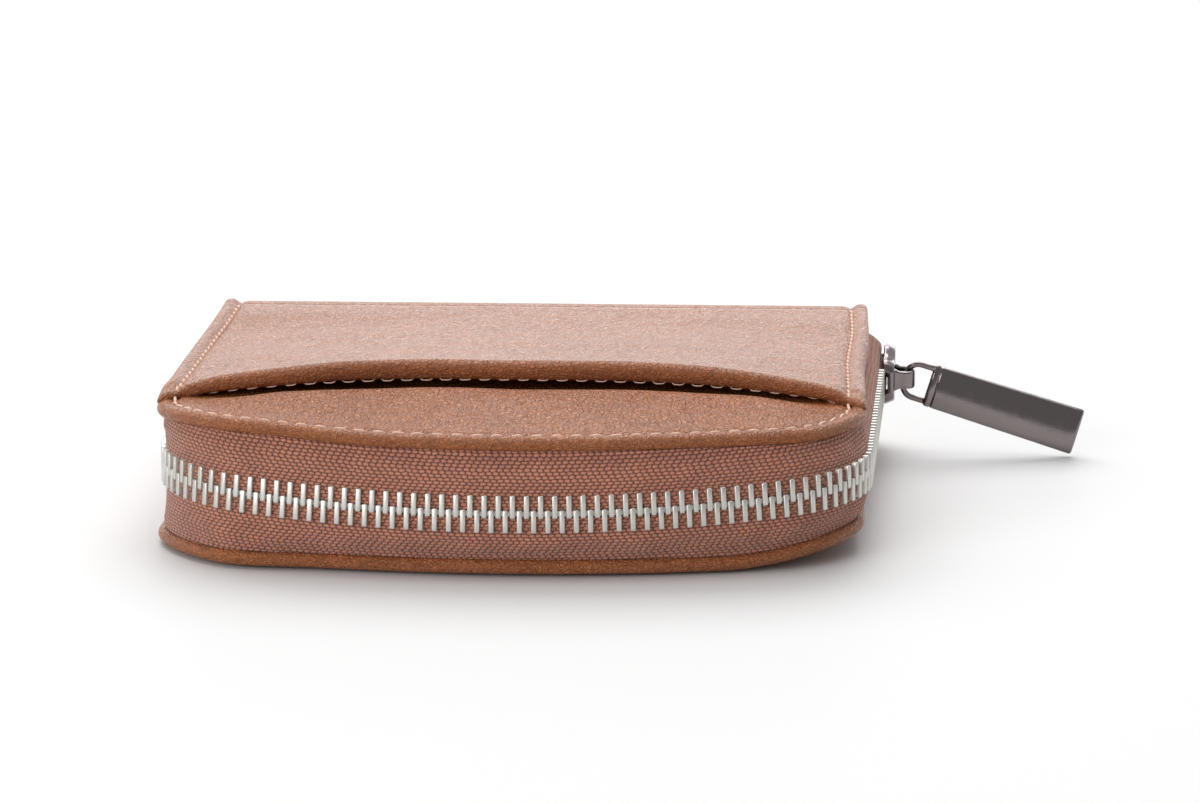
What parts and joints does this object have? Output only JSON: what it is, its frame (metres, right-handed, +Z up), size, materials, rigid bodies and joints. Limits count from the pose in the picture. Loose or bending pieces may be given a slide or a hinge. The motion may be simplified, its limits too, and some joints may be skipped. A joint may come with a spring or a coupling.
{
  "type": "zippered pouch",
  "caption": "Small flat leather purse that opens like a book, closed by a metal zip on the other sides, with a slip pocket on top and card slots inside.",
  "frame": {"origin": "on the resting face, in the middle of the closed purse's depth and width", "axes": "+Z up out of the top cover, +Y back to the spine, +X along the spine towards the zip pull"},
  "size_m": [0.1476, 0.1063, 0.0268],
  "materials": {
    "leather": "tan-brown pebble-grained leather, low sheen",
    "leather_inner": "smooth thin lining leather, matt",
    "lining": "brown twill lining cloth",
    "board": "grey bonded leather board, hidden",
    "zip_tape": "reddish-brown woven herringbone tape",
    "zip_metal": "satin silver-coloured teeth and stops",
    "gunmetal": "glossy dark gunmetal plating"
  },
  "bodies": {
    "base": {"bottom_cover": "leather", "bottom_turned_edge": "leather", "bottom_board": "board", "bottom_lining": "lining", "spine_lower": "leather", "spine_lining_lower": "lining", "card_slot_1": "leather_inner", "card_slot_2": "leather_inner", "card_slot_3": "leather_inner", "lower_zip_tape": "zip_tape", "lower_teeth": "zip_metal", "lower_top_stop": "zip_metal", "bottom_stop": "zip_metal"},
    "lid": {"top_cover": "leather", "top_turned_edge": "leather", "top_board": "board", "top_lining": "lining", "spine_upper": "leather", "spine_lining_upper": "lining", "slip_pocket": "leather", "slip_pocket_hem": "leather", "note_pocket": "leather_inner", "upper_zip_tape": "zip_tape", "upper_teeth": "zip_metal", "upper_top_stop": "zip_metal"},
    "slider": {"slider_body": "gunmetal", "slider_bridge": "gunmetal"},
    "pull": {"pull_loop": "gunmetal", "pull_tab": "gunmetal"}
  },
  "joints": [
    {"name": "lid_open", "type": "hinge", "parent": "base", "child": "lid", "pos_m": [0, 0.0525, 0.0128], "axis": [-1, 0, 0], "range_deg": [0, 170]},
    {"name": "slider_run", "type": "slide", "parent": "base", "child": "slider", "axis": [-0.0436, -0.999, 0], "range_m": [0, 0.062]},
    {"name": "pull_swing", "type": "hinge", "parent": "slider", "child": "pull", "pos_m": [0.06193, 0.0415, 0.0128], "axis": [0.2921, -0.0128, 0.9563], "range_deg": [-80, 80]}
  ]
}
